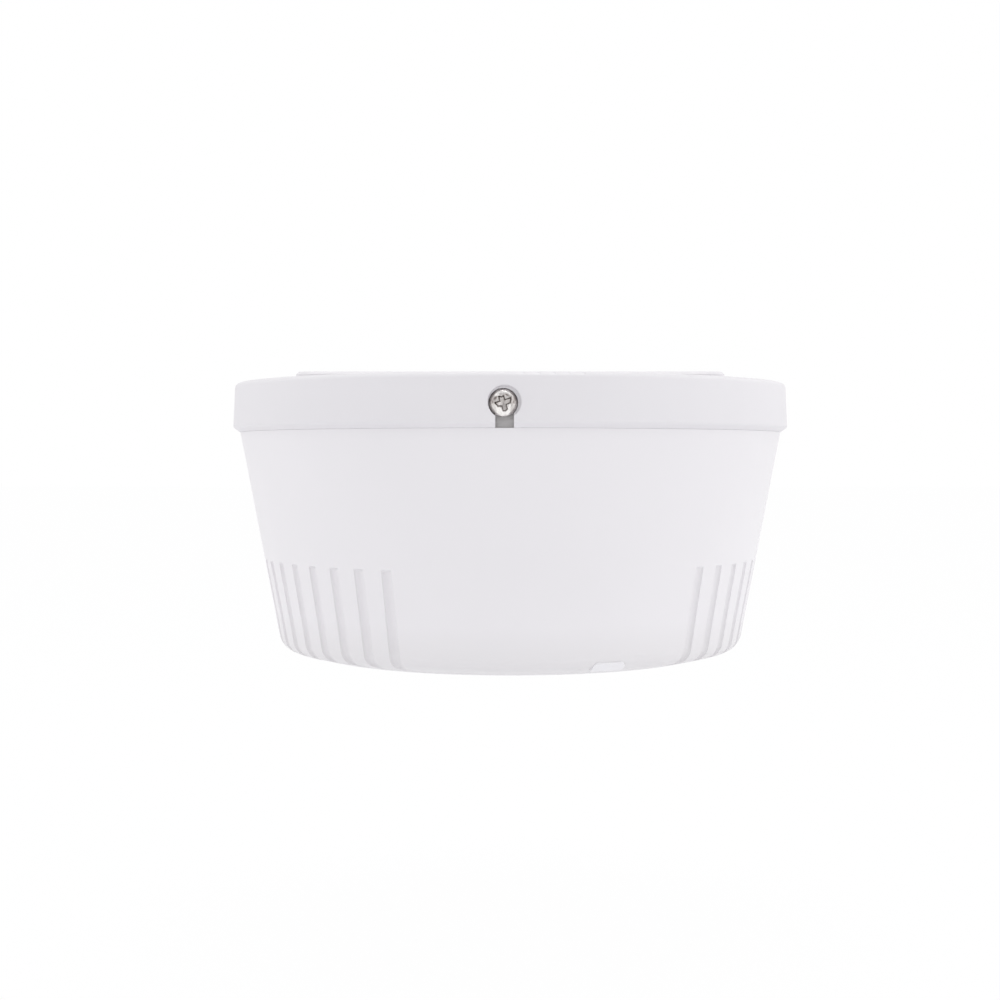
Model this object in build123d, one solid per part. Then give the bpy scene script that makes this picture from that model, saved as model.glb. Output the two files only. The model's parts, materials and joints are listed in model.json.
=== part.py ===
"""Ceiling heat detector: a plug-in head that a locking screw holds in a mounting base.

Millimetres, +Z up. The origin is the centre of the mounting plane, where the base's raised
pad meets the ceiling, so the detector hangs below z = 0. The locking screw is at the front,
on -Y. Places round the axis are angles from the front, positive towards +X.
"""
import math
import os

from build123d import *

# Base
collar_r = 60.0            # outside of the collar just above its bevelled lower edge
collar_height = 10.4
collar_draft = 0.4         # how much narrower the collar is at its top
collar_wall = 2.0
collar_top_round = 1.1
collar_bevel_width = 1.4   # bevel at the collar's lower edge, down to the cup's shoulder
collar_bevel_height = 1.0
collar_bevel_round = 0.6
plate_thickness = 2.4
pad_side = 84.0            # square that bears on the ceiling
pad_height = 0.9
pad_corner_r = 3.0
pad_chamfer = 0.5
inner_rib_height = 1.6
inner_rib_width = 1.2
slot_spacing = 60.3        # fixing slots, centre to centre
slot_width = 4.4
slot_length = 9.0
slot_rim_width = 2.4
slot_rim_height = 1.0
cable_hole_r = 8.0

# Keyhole and locking screw (M3)
keyhole_x = -1.05
keyhole_r = 3.12
keyhole_drop = 5.62        # hole centre below the collar's top
keyhole_ledge = 1.1        # depth of the wide part; a narrower hole goes on round the head
keyhole_slot_width = 3.44
screw_sag = 0.2            # the screw sits this much below the keyhole's centre
screw_shift = -0.25        # and this much to one side of it
lock_thread_r = 1.5
lock_head_r = 2.64
lock_head_height = 1.9
lock_shank_length = 8.0
lock_washer_r = 2.6
lock_washer_thickness = 0.5
lock_boss_width = 9.0
lock_boss_depth = 9.0
insert_r = 2.1
insert_length = 6.0

# Cup
seam_gap = 0.05            # between the collar and the cup
collar_overhang = 1.5      # collar beyond the cup's shoulder
cup_height = 47.95
cup_taper = 10.9           # degrees from the vertical
cup_wall = 2.4
shoulder_round = 0.2
nose_round = 3.9           # between the side and the shallow rim cone
rim_width = 8.0            # rim cone between the side and the flat nose, along the radius
rim_height = 2.0
rim_round = 5.0            # between the rim cone and the flat nose
nose_wall = 2.2
dish_r = 30.0              # shallow dish in the nose
dish_depth = 2.6
dish_slope_width = 1.2     # how far the dish's wall leans in
dish_round = 1.2
lip_depth = 2.4            # straight stretch inside the mouth
lip_wall = 2.2

# Flutes in the cup
flute_groups = 3
flutes_per_group = 8
flute_pitch = 7.0          # degrees
flute_width = 2.3
flute_depth = 0.8
flute_start = 27.0         # top ends below the seam
smooth_centre = 9.0        # middle of the plain panel at the front, degrees

# Indicator window on the nose's rounded edge
window_angle = 22.8
window_tilt = 58.0         # outward normal below the horizontal
window_width = 6.8
window_height = 3.4
window_corner_r = 1.2
window_proud = 0.25
pipe_bend_r = 6.0
led_r = 1.5
led_length = 4.2
led_inset = 4.0            # LED inside the board's edge

# Chassis (skirt, plate and stand-offs)
skirt_gap = 0.4            # between the skirt and the collar
skirt_wall = 1.8
skirt_top_gap = 0.9
skirt_seat = 0.2           # the skirt stands this far inside the cup's shoulder edge
flange_drop = 0.1          # inner shelf above the shoulder plane
well_step = 1.5            # well's wall inside the spigot
well_wall = 1.4
spigot_depth = 1.8
well_depth = 2.4           # chassis plate below the shoulder plane
chassis_plate = 2.0
cover_post_inset = 12.5    # screw posts inside the cup's shoulder
cover_post_angles = (0, 120, 240)
post_outer_r = 4.0
cover_screw_r = 1.5
cover_screw_length = 12.0
screw_head_r = 2.8
screw_head_height = 1.9

# Terminals in the base
terminal_angles = (45, 135, 225, 315)
terminal_circle_r = 36.0
pedestal_height = 3.0
pedestal_width = 9.0
pedestal_length = 25.0
strip_thickness = 0.8
strip_width = 8.0
strip_length = 24.0
terminal_offset = -6.5     # terminal screw from the pedestal's middle
fork_offset = 6.0          # blade fork from the pedestal's middle
terminal_thread_r = 1.75
terminal_head_r = 3.5
terminal_head_height = 2.2
terminal_shank_length = 6.0
thread_collar_r = 2.7
thread_collar_height = 1.2
clamp_side = 7.6
clamp_thickness = 1.0
leaf_thickness = 0.5
leaf_drop = 4.0
rivet_r = 1.25
rivet_head_r = 2.1

# Contact blades in the head
blade_thickness = 0.8
blade_width = 6.0
blade_tail_width = 1.4
blade_grip = 3.6           # how far a blade reaches into its fork

# Circuit board
board_gap = 1.0            # board's edge to the screw posts
board_thickness = 1.6
standoff_height = 5.0
standoff_r = 3.0
standoff_inset = 6.0       # stand-offs inside the board's edge
standoff_angles = (10, 100, 190, 280)
board_screw_r = 1.25
board_screw_head_r = 2.3
board_screw_head_height = 1.6
board_screw_length = 5.0

# Heat sensor
guard_r = 9.6
guard_wall = 1.6
guard_flange_r = 12.6
guard_flange = 1.2
guard_drop = 3.2           # cage below the nose
guard_round = 4.0
guard_ribs = 6
guard_rib_width = 1.5
guard_cap_r = 3.4
bead_r = 1.3
lead_r = 0.25
lead_spacing = 1.3
sleeve_r = 1.6
sleeve_wall = 0.4
bush_r = 3.0
bush_flange_r = 4.4

# Fits
running = 0.03             # thread in its nut or insert
assembly = 0.05            # screw or pin in a hole of the same body
head_play = 0.1            # locking screw's head in its hole
blade_play = 0.05          # blade to each leaf of its fork
notch_play = 0.25          # locking screw in the skirt's notch
clearance = 0.3            # moving plastic to plastic

# Levels worked out from the sizes above
plate_top = -pad_height
plate_under = plate_top - plate_thickness
seam_z = plate_top - collar_height
shoulder_z = seam_z - seam_gap
nose_z = shoulder_z - cup_height
cup_r = collar_r - collar_overhang
taper = math.tan(math.radians(cup_taper))
taper_cos = math.cos(math.radians(cup_taper))
taper_sin = math.sin(math.radians(cup_taper))
nose_r = cup_r - cup_height * taper
rim_inner_r = nose_r - rim_width
rim_outer_r = nose_r + rim_height * taper
rim_slope = rim_height / (rim_outer_r - rim_inner_r)
rim_cos = math.cos(math.atan(rim_slope))
collar_inner_r = collar_r - collar_wall
skirt_r = collar_inner_r - skirt_gap
skirt_inner_r = skirt_r - skirt_wall
skirt_top = plate_under - skirt_top_gap
spigot_r = cup_r - lip_wall - 2 * skirt_seat
well_r = spigot_r - well_step
flange_inner_r = well_r - well_wall
cover_post_r = cup_r - cover_post_inset
board_r = cover_post_r - post_outer_r - board_gap
standoff_circle_r = board_r - standoff_inset
led_circle_r = board_r - led_inset
chassis_top = shoulder_z - well_depth
chassis_under = chassis_top - chassis_plate
keyhole_z = plate_top - keyhole_drop
lock_z = keyhole_z - screw_sag
lock_x = keyhole_x + screw_shift
washer_back_y = -(skirt_r + assembly)
head_back_y = washer_back_y - lock_washer_thickness
boss_face_y = -(skirt_inner_r - 2 * clearance)
pedestal_under = plate_under - pedestal_height
strip_under = pedestal_under - strip_thickness
clamp_under = strip_under - clamp_thickness
fork_tip = strip_under - leaf_drop
blade_tip = fork_tip + blade_grip
board_top = chassis_under - standoff_height
board_under = board_top - board_thickness
dish_floor = nose_z + dish_depth
floor_inside = nose_z + nose_wall
dish_inside = dish_floor + nose_wall
guard_bottom = nose_z - guard_drop
guard_top = dish_inside + guard_flange
bead_z = guard_bottom + guard_wall + 2 * bead_r

UP = (Align.CENTER, Align.CENTER, Align.MIN)


def disc(radius, top, bottom, x=0.0, y=0.0):
    """Upright cylinder between two levels."""
    return Pos(x, y, bottom) * Cylinder(radius, top - bottom, align=UP)


def block(size_x, size_y, top, bottom, x=0.0, y=0.0):
    """Upright box between two levels."""
    return Pos(x, y, bottom) * Box(size_x, size_y, top - bottom, align=UP)


def turned(points, rounds=()):
    """Solid of revolution. points are (radius, height); rounds are (point number, radius)."""
    face = make_face(Polyline(*points, close=True))
    for number, radius in rounds:
        corner = face.vertices().sort_by_distance((*points[number], 0))[0]
        face = fillet(corner, radius)
    return revolve(Plane.XZ * face, Axis.Z)


def along_y(radius, front, back, x, z):
    """Cylinder that lies along Y between two places."""
    return Plane(origin=(x, back, z), z_dir=(0, -1, 0)) * Cylinder(radius, back - front, align=UP)


def spun(shape, angle):
    """The shape turned round the detector's axis from the front."""
    return Rot(0, 0, angle) * shape


def cup_outer_r(z):
    """Radius of the cup's outside at a height."""
    return cup_r - (shoulder_z - z) * taper


def cup_inner_r(z):
    """Radius of the cup's inside at a height, below the lip."""
    return cup_outer_r(z) - cup_wall / taper_cos


def cross_recess(width, depth, radius):
    """Cross-shaped driver recess that narrows towards its bottom; the mouth is at z = 0."""
    arms = Rectangle(2 * radius, width) + Rectangle(width, 2 * radius)
    tip = Rectangle(radius, 0.6 * width) + Rectangle(0.6 * width, radius)
    return loft([arms.face(), Pos(0, 0, -depth) * tip.face()])


def pan_screw(head_r, head_height, shank_r, shank_length, recess):
    """Pan-head screw: the head stands on z = 0 and the shank hangs below it."""
    head = turned([(0, 0), (head_r, 0), (head_r, head_height), (0, head_height)],
                  [(2, 0.55 * head_height)])
    shank = disc(shank_r, 0, -shank_length)
    tip = shank.edges().sort_by(Axis.Z)[0]
    shank = chamfer(tip, 0.25 * shank_r)
    cut = Pos(0, 0, head_height) * cross_recess(recess, 0.6 * head_height, 0.62 * head_r)
    return head + shank - cut


# ---------------------------------------------------------------- base

def collar_and_plate():
    points = [
        (0, plate_top),
        (collar_r - collar_draft, plate_top),
        (collar_r, seam_z + collar_bevel_height),
        (collar_r - collar_bevel_width, seam_z),
        (collar_inner_r, seam_z),
        (collar_inner_r, plate_under),
        (0, plate_under),
    ]
    shell = turned(points, [(1, collar_top_round), (2, collar_bevel_round)])
    pad = Pos(0, 0, plate_under) * extrude(
        RectangleRounded(pad_side, pad_side, pad_corner_r), -plate_under)
    pad = chamfer(pad.edges().group_by(Axis.Z)[-1], pad_chamfer)
    return shell + pad


def keyhole():
    """Stepped hole for the locking screw's head, with the slot that runs down from it."""
    wide = along_y(keyhole_r, -collar_r - 1, keyhole_ledge - collar_r, keyhole_x, keyhole_z)
    narrow = along_y(lock_head_r + head_play, -collar_r - 1, -skirt_r - skirt_gap / 2, lock_x, lock_z)
    slot = block(keyhole_slot_width, collar_wall + 2, keyhole_z, seam_z - 1,
                 x=keyhole_x, y=-collar_r + collar_wall / 2)
    return wide + narrow + slot


def lock_boss():
    bottom = lock_z - insert_r - 1.8
    boss = block(lock_boss_width, lock_boss_depth, plate_under + 0.5, bottom,
                 x=lock_x, y=boss_face_y + lock_boss_depth / 2)
    insert_hole = along_y(insert_r, boss_face_y - 1, boss_face_y + insert_length, lock_x, lock_z)
    tip_hole = along_y(lock_thread_r + clearance, boss_face_y, boss_face_y + insert_length + 2,
                       lock_x, lock_z)
    return boss, insert_hole + tip_hole


def pedestal():
    """One terminal's seat under the plate, at the front, and the holes in it."""
    seat = block(pedestal_length, pedestal_width, plate_under + 0.5, pedestal_under,
                 y=-terminal_circle_r)
    collar_pocket = disc(thread_collar_r + clearance, pedestal_under + thread_collar_height + clearance,
                         pedestal_under - 1, terminal_offset, -terminal_circle_r)
    shank_hole = disc(terminal_thread_r + clearance, plate_under + 1.6, pedestal_under,
                      terminal_offset, -terminal_circle_r)
    rivet_hole = disc(rivet_r + assembly, 1, pedestal_under - 1, 0, -terminal_circle_r)
    rivet_well = disc(rivet_head_r + clearance, 1, plate_under + 0.8, 0, -terminal_circle_r)
    return seat, collar_pocket + shank_hole + rivet_hole + rivet_well


def fixing_slots():
    """Two slots for ceiling screws, with the raised rims round them on the inside."""
    rims = []
    cuts = []
    for side in (-1, 1):
        place = Pos(side * slot_spacing / 2, 0, 0)
        rim = SlotOverall(slot_length + 2 * slot_rim_width, slot_width + 2 * slot_rim_width)
        rims.append(place * Pos(0, 0, plate_under - slot_rim_height) * extrude(rim, slot_rim_height + 0.5))
        hole = extrude(SlotOverall(slot_length, slot_width), 20)
        cuts.append(place * Pos(0, 0, plate_under - 10) * hole)
    return rims, cuts


def plate_ribs():
    """Stiffening ribs under the floor plate, between the cable hole and the collar."""
    inner = cable_hole_r + 7
    outer = collar_inner_r - 2.6
    rib = block(inner_rib_width, outer - inner, plate_under + 0.5, plate_under - inner_rib_height,
                y=-(inner + outer) / 2)
    ribs = [spun(rib, angle) for angle in (22, 68, 112, 158, 202, 248, 292, 338)]
    rim = disc(cable_hole_r + 4.5, plate_under + 0.5, plate_under - inner_rib_height)
    return ribs + [rim]


def base_housing():
    body = collar_and_plate()
    boss, boss_cut = lock_boss()
    rims, slots = fixing_slots()
    body += [boss] + rims + plate_ribs()
    seat, seat_cut = pedestal()
    body += [spun(seat, angle) for angle in terminal_angles]
    body -= [keyhole(), boss_cut, disc(cable_hole_r, 1, -12)] + slots
    body -= [spun(seat_cut, angle) for angle in terminal_angles]
    return body


def cable_grommet():
    """Rubber ring that sits in the cable hole and lips over both faces of its rim."""
    rim_under = plate_under - inner_rib_height
    groove_r = cable_hole_r - assembly
    lip_r = cable_hole_r + 2.6
    bore_r = 4.0
    points = [
        (bore_r, 0),
        (groove_r, 0),
        (groove_r, rim_under - assembly),
        (lip_r, rim_under - assembly),
        (lip_r - 0.6, rim_under - 1.6),
        (bore_r, rim_under - 1.6),
    ]
    return turned(points, [(3, 0.3), (4, 0.3)])


def base_contact():
    """Stamped terminal strip with a thread collar and a fork, at the front."""
    strip = block(strip_length, strip_width, pedestal_under, strip_under, y=-terminal_circle_r)
    strip = chamfer(strip.edges().filter_by(Axis.Z), 1.2)
    collar = disc(thread_collar_r, pedestal_under + thread_collar_height, strip_under,
                  terminal_offset, -terminal_circle_r)
    contact = strip + collar
    leaf_place = blade_thickness / 2 + blade_play + leaf_thickness / 2
    for side in (-1, 1):
        leaf = block(leaf_thickness, blade_width - 0.4, strip_under + 0.2, fork_tip,
                     fork_offset + side * leaf_place, -terminal_circle_r)
        flare = Pos(fork_offset + side * (leaf_place - leaf_thickness / 2), -terminal_circle_r, fork_tip)
        lip = flare * Rot(0, side * -28, 0) * Box(
            leaf_thickness, blade_width - 0.4, 1.0,
            align=(Align.MIN if side > 0 else Align.MAX, Align.CENTER, Align.MAX))
        contact += leaf + lip
    hole = disc(terminal_thread_r + running, 0, strip_under - 1, terminal_offset, -terminal_circle_r)
    rivet = disc(rivet_r + assembly, 0, strip_under - 1, 0, -terminal_circle_r)
    return contact - hole - rivet


def contact_rivet():
    """Rivet that holds one strip to its pedestal, at the front."""
    top = plate_under + 0.8
    y = -terminal_circle_r
    shank = disc(rivet_r, top, strip_under, 0, y)
    upper = disc(rivet_head_r, top + 0.6, top, 0, y)
    lower = disc(rivet_head_r, strip_under, strip_under - 0.7, 0, y)
    lower = fillet(lower.edges().sort_by(Axis.Z)[0], 0.4)
    return shank + upper + lower


def wire_clamp():
    """Square plate that the terminal screw presses on the wire, at the front."""
    plate = block(clamp_side, clamp_side, strip_under, clamp_under, terminal_offset, -terminal_circle_r)
    plate = chamfer(plate.edges().filter_by(Axis.Z), 1.0)
    groove = block(clamp_side + 2, 0.5, strip_under + 0.01, strip_under - 0.25, terminal_offset)
    for offset in (-2.8, 2.8):
        plate -= Pos(0, -terminal_circle_r + offset, 0) * groove
    hole_r = terminal_thread_r + 2 * assembly
    return plate - disc(hole_r, strip_under + 1, clamp_under - 1, terminal_offset, -terminal_circle_r)


def terminal_screw():
    """Terminal screw, head down, at the front."""
    screw = pan_screw(terminal_head_r, terminal_head_height, terminal_thread_r,
                      terminal_shank_length, 1.2)
    return Pos(terminal_offset, -terminal_circle_r, clamp_under) * Rot(180, 0, 0) * screw


def locking_insert():
    body = along_y(insert_r - assembly / 2, boss_face_y, boss_face_y + insert_length, lock_x, lock_z)
    for share in (0.25, 0.65):
        y = boss_face_y + share * insert_length
        body -= along_y(insert_r + 1, y, y + 0.6, lock_x, lock_z) - along_y(
            insert_r - 0.35, y - 1, y + 2, lock_x, lock_z)
    return body - along_y(lock_thread_r + running, boss_face_y - 1, boss_face_y + 10, lock_x, lock_z)


def locking_washer():
    ring = along_y(lock_washer_r, head_back_y, washer_back_y, lock_x, lock_z)
    return ring - along_y(lock_thread_r + 2 * assembly, -collar_r, -skirt_inner_r, lock_x, lock_z)


def locking_screw():
    screw = pan_screw(lock_head_r, lock_head_height, lock_thread_r, lock_shank_length, 0.95)
    turned_recess = Rot(0, 0, 22) * screw
    return Plane(origin=(lock_x, head_back_y, lock_z), x_dir=(1, 0, 0), z_dir=(0, -1, 0)) * turned_recess


# ---------------------------------------------------------------- head: cover

def rim_z(radius):
    """Height of the rim cone at a radius."""
    return nose_z + (radius - rim_inner_r) * rim_slope


def corner_point(inset):
    """Radius and height where the side and the rim cone meet, both moved inwards by an inset."""
    side_r = cup_outer_r(0) - inset / taper_cos
    cone_z = rim_z(0) + inset / rim_cos
    z = (cone_z + rim_slope * side_r) / (1 - rim_slope * taper)
    return side_r + z * taper, z


def cup_form(grow=0.0):
    """Outside of the cup as a solid, grown by a little all over."""
    points = [
        (0, nose_z - grow),
        (rim_inner_r - grow * math.tan(math.atan(rim_slope) / 2), nose_z - grow),
        corner_point(-grow),
        (cup_r + grow / taper_cos, shoulder_z),
        (0, shoulder_z),
    ]
    return turned(points, [(1, rim_round + grow), (2, nose_round + grow), (3, shoulder_round)])


def cup_cavity():
    """Room inside the cup, stepped round the dish in the nose."""
    lip_r = cup_r - lip_wall
    lip_z = shoulder_z - lip_depth
    step_r = dish_r + nose_wall
    points = [
        (0, shoulder_z + 1),
        (lip_r, shoulder_z + 1),
        (lip_r, lip_z),
        (cup_inner_r(lip_z), lip_z),
        corner_point(cup_wall),
        (rim_inner_r, floor_inside),
        (step_r, floor_inside),
        (step_r, dish_inside),
        (0, dish_inside),
    ]
    return turned(points, [(4, nose_round - cup_wall)])


def flute_angles():
    """Angle of each flute's middle; the groups are spread evenly round the cup."""
    first = -(flutes_per_group - 1) / 2 * flute_pitch
    spread = 360 / flute_groups
    return [
        smooth_centre + spread * (group + 0.5) + first + number * flute_pitch
        for group in range(flute_groups)
        for number in range(flutes_per_group)
    ]


def flute_cutter():
    """One groove at the front: it follows the taper and runs out through the nose's edge."""
    top = seam_z - flute_start
    length = (top - nose_z) / taper_cos + 5
    surface = Plane(origin=(0, -cup_outer_r(top), top), x_dir=(1, 0, 0),
                    z_dir=(0, -taper_cos, -taper_sin))
    groove = Box(flute_width, length, 2 * flute_depth, align=(Align.CENTER, Align.MAX, Align.CENTER))
    return surface * groove


def window_path():
    """Line of the light pipe from outside the nose's edge up to the LED, at the front."""
    centre_r, centre_z = corner_point(nose_round)
    normal_y = -math.cos(math.radians(window_tilt))
    normal_z = -math.sin(math.radians(window_tilt))
    edge_y = -centre_r + nose_round * normal_y
    edge_z = centre_z + nose_round * normal_z
    reach = (-edge_y - led_circle_r) / -normal_y
    outside = (0, edge_y + 2 * normal_y, edge_z + 2 * normal_z)
    corner = (0, -led_circle_r, edge_z - reach * normal_z)
    top = (0, -led_circle_r, board_under - led_length - clearance)
    return FilletPolyline(outside, corner, top, radius=pipe_bend_r)


def pipe_solid(grow=0.0):
    """Light pipe's bar, grown sideways for the hole it passes through."""
    path = window_path()
    section = Plane(origin=path @ 0, x_dir=(1, 0, 0), z_dir=path % 0) * RectangleRounded(
        window_width + 2 * grow, window_height + 2 * grow, window_corner_r + grow)
    return sweep(section, path=path)


def light_pipe():
    return spun(pipe_solid() & cup_form(window_proud), window_angle)


def window_hole():
    """Hole for the light pipe: the grown bar, kept to the cup's corner."""
    corner = disc(cup_r, floor_inside + 2 * nose_wall, nose_z - 5) - disc(
        cup_inner_r(floor_inside) - 2 * nose_wall, floor_inside + 2 * nose_wall, nose_z - 5)
    return spun(pipe_solid(assembly) & corner, window_angle)


def cover_post():
    """Screw post with its web to the wall, at the front."""
    post = disc(post_outer_r, chassis_under, floor_inside - 0.5, y=-cover_post_r)
    web = block(2.0, 14, chassis_under - 6, floor_inside - 0.5, y=-cover_post_r - 7)
    foot = block(2.0, 12, floor_inside + 8, floor_inside - 0.5, y=-cover_post_r + 6)
    hole = disc(cover_screw_r + assembly, chassis_under + 1, chassis_under - cover_screw_length,
                y=-cover_post_r)
    return post + web + foot, hole


def dish():
    """Shallow dish sunk in the nose, its floor's edge rounded."""
    points = [
        (0, nose_z - 1),
        (dish_r, nose_z - 1),
        (dish_r, nose_z),
        (dish_r - dish_slope_width, dish_floor),
        (0, dish_floor),
    ]
    return turned(points, [(3, dish_round)])


def cover():
    cavity = cup_cavity()
    outside = cup_form()
    body = outside - cavity - dish()
    body -= [spun(flute_cutter(), angle) for angle in flute_angles()]
    post, hole = cover_post()
    inner_room = cup_form(-0.8)
    posts = [spun(post & inner_room, angle) for angle in cover_post_angles]
    keep_out = disc(dish_r, dish_inside, nose_z - 1)
    body += [post - keep_out for post in posts]
    body -= [spun(hole, angle) for angle in cover_post_angles]
    guard_hole = disc(guard_r + assembly, dish_inside + 1, nose_z - 1)
    return body - guard_hole - window_hole()


# ---------------------------------------------------------------- head: chassis and contacts

def chassis_shell():
    shelf_z = shoulder_z + flange_drop
    points = [
        (skirt_inner_r, skirt_top),
        (skirt_r, skirt_top),
        (skirt_r, shoulder_z),
        (spigot_r, shoulder_z),
        (spigot_r, shoulder_z - spigot_depth),
        (well_r, shoulder_z - spigot_depth),
        (well_r, chassis_under),
        (0, chassis_under),
        (0, chassis_top),
        (flange_inner_r, chassis_top),
        (flange_inner_r, shelf_z),
        (skirt_inner_r, shelf_z),
    ]
    return turned(points, [(1, 0.4), (0, 0.4)])


def skirt_notch():
    """Notch, open at the skirt's top, that slides up round the locking screw's shank."""
    half = lock_thread_r + notch_play
    front = -skirt_r - 1
    back = -skirt_inner_r + 1
    slot = block(2 * half, back - front, skirt_top + 1, lock_z, x=lock_x, y=(front + back) / 2)
    seat = along_y(lock_washer_r + 2 * clearance, front, -skirt_r + 0.1, lock_x, lock_z)
    return slot + along_y(half, front, back, lock_x, lock_z) + seat


def chassis():
    body = chassis_shell() - skirt_notch()
    standoffs = []
    for angle in standoff_angles:
        peg = disc(standoff_r, chassis_under + 0.5, board_top, y=-standoff_circle_r)
        standoffs.append(spun(peg, angle))
    ribs = []
    for radius in (20.0, 48.0):
        ribs.append(disc(radius + 0.7, chassis_under + 0.5, chassis_under - 2) - disc(
            radius - 0.7, chassis_under + 1, chassis_under - 3))
    body += standoffs + ribs
    for angle in standoff_angles:
        hole = disc(board_screw_r + assembly, board_top + board_screw_length, board_top - 1,
                    y=-standoff_circle_r)
        body -= spun(hole, angle)
    for angle in cover_post_angles:
        clear_hole = disc(cover_screw_r + clearance, chassis_top + 1, chassis_under - 3, y=-cover_post_r)
        post_room = disc(post_outer_r + clearance, chassis_under, chassis_under - 3, y=-cover_post_r)
        body -= [spun(clear_hole, angle), spun(post_room, angle)]
    for angle in terminal_angles:
        slit = block(blade_thickness + assembly, blade_width + assembly, chassis_top + 1,
                     chassis_under - 3, fork_offset, -terminal_circle_r)
        body -= spun(slit, angle)
    return body


def contact_blade():
    """Blade with a folded foot under the chassis plate and a solder tail, at the front."""
    y = -terminal_circle_r
    blade = block(blade_thickness, blade_width, blade_tip, chassis_under, fork_offset, y)
    tip_edges = blade.edges().filter_by(Axis.Y).group_by(Axis.Z)[-1]
    blade = chamfer(tip_edges, 0.3 * blade_thickness)
    shoulder = block(3.2, blade_width - 1, chassis_under, chassis_under - 0.8, fork_offset, y)
    tail = block(blade_thickness, blade_tail_width, chassis_under, board_under - 1.2, fork_offset, y)
    return blade + shoulder + tail


def chassis_screws():
    screw = pan_screw(screw_head_r, screw_head_height, cover_screw_r,
                      cover_screw_length - 1, 1.0)
    placed = Pos(0, -cover_post_r, chassis_top) * screw
    return [spun(placed, angle) for angle in cover_post_angles]


def seal_ring():
    top = shoulder_z - spigot_depth - assembly
    outer = cup_inner_r(top - 1.2) - assembly
    return disc(outer, top, top - 1.2) - disc(well_r + assembly, top + 1, top - 3)


# ---------------------------------------------------------------- head: circuit board

def circuit_board():
    board = disc(board_r, board_top, board_under)
    for angle in standoff_angles:
        board -= spun(disc(board_screw_r + clearance, 0, nose_z, y=-standoff_circle_r), angle)
    for angle in terminal_angles:
        tail_hole = block(blade_thickness + 2 * assembly, blade_tail_width + 2 * assembly, 0, nose_z,
                          fork_offset, -terminal_circle_r)
        board -= spun(tail_hole, angle)
    for x in (-lead_spacing / 2, lead_spacing / 2):
        board -= disc(lead_r + assembly, 0, nose_z, x)
    return board


def board_screws():
    screw = pan_screw(board_screw_head_r, board_screw_head_height, board_screw_r,
                      board_screw_length + board_thickness - 0.5, 0.9)
    placed = Pos(0, -standoff_circle_r, board_under) * Rot(180, 0, 0) * screw
    return [spun(placed, angle) for angle in standoff_angles]


def under_board(size_x, size_y, height, x, y, edge=0.3):
    """Component body that hangs from the board, its edges eased."""
    body = block(size_x, size_y, board_under, board_under - height, x, y)
    return chamfer(body.edges().group_by(Axis.Z)[0], edge)


def relay():
    return under_board(15.4, 19.0, 15.2, -17, 9, 0.6)


def capacitor():
    radius = 5.0
    length = 16.0
    can = disc(radius, board_under, board_under - length, 15, 12)
    can = fillet(can.edges().sort_by(Axis.Z)[0], 0.6)
    crimp_z = board_under - 2.6
    ring = disc(radius + 1, crimp_z, crimp_z - 0.8, 15, 12) - disc(radius - 0.4, 0, nose_z, 15, 12)
    return can - ring


def gull_wing_package(length, width, height, x, y, legs):
    """Moulded package on a row of legs down each long side."""
    lift = 0.3
    body = Pos(0, 0, -lift) * under_board(length, width, height, x, y, 0.4)
    pitch = length / legs
    for side in (-1, 1):
        for number in range(legs):
            leg_x = x + (number - (legs - 1) / 2) * pitch
            leg_y = y + side * (width / 2 + 0.5)
            body += block(0.45, 1.2, board_under, board_under - 1.0, leg_x, leg_y)
    return body


def controller_chip():
    return gull_wing_package(8.7, 4.0, 1.5, -13, -12, 7)


def bridge_rectifier():
    return gull_wing_package(6.4, 5.0, 2.4, 24, -6, 2)


def surge_suppressor():
    """Disc varistor that stands on edge under the board."""
    radius = 4.6
    body = Plane(origin=(3, 24, board_under - radius - 1.5), z_dir=(0, 1, 0)) * Cylinder(radius, 3.6)
    body = fillet(body.edges().filter_by(GeomType.CIRCLE), 1.0)
    legs = [block(0.7, 0.7, board_under, board_under - 4, 3 + side * 2.5, 24) for side in (-1, 1)]
    return body + legs


def resistors():
    places = [(-3, -16), (-3, -19), (-3, -22), (4, -16), (4, -19), (14, -14), (14, -17), (-24, -14),
              (28, 8), (28, 11)]
    return [under_board(3.2, 1.6, 0.6, x, y, 0.1) for x, y in places]


def indicator_led():
    """Round LED, dome down, above the light pipe's end, at the front."""
    flange = disc(led_r + 0.35, board_under, board_under - 1.0, y=-led_circle_r)
    dome = disc(led_r, board_under, board_under - led_length, y=-led_circle_r)
    dome = fillet(dome.edges().sort_by(Axis.Z)[0], 0.9 * led_r)
    return spun(flange + dome, window_angle)


def reference_thermistor():
    """Second bead on short leads, kept on the board to feel the inside air."""
    x = -28.0
    y = -6.0
    drop = 7.0
    bead = Pos(x, y, board_under - drop) * Rot(90, 0, 0) * Sphere(bead_r)
    legs = [block(0.5, 0.5, board_under, board_under - drop, x + side * 0.6, y) for side in (-1, 1)]
    return bead + legs


# ---------------------------------------------------------------- head: heat sensor

def sensing_thermistor():
    bead = Pos(0, 0, bead_z) * Sphere(bead_r)
    return bead - sensor_leads_pair()


def sensor_leads_pair():
    bottom = bead_z
    top = board_top + 0.6
    return [disc(lead_r, top, bottom, x) for x in (-lead_spacing / 2, lead_spacing / 2)]


def sensor_sleeve():
    top = board_under - 1.0
    bottom = bead_z + bead_r + 0.4
    return disc(sleeve_r, top, bottom) - disc(sleeve_r - sleeve_wall, top + 1, bottom - 1)


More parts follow.
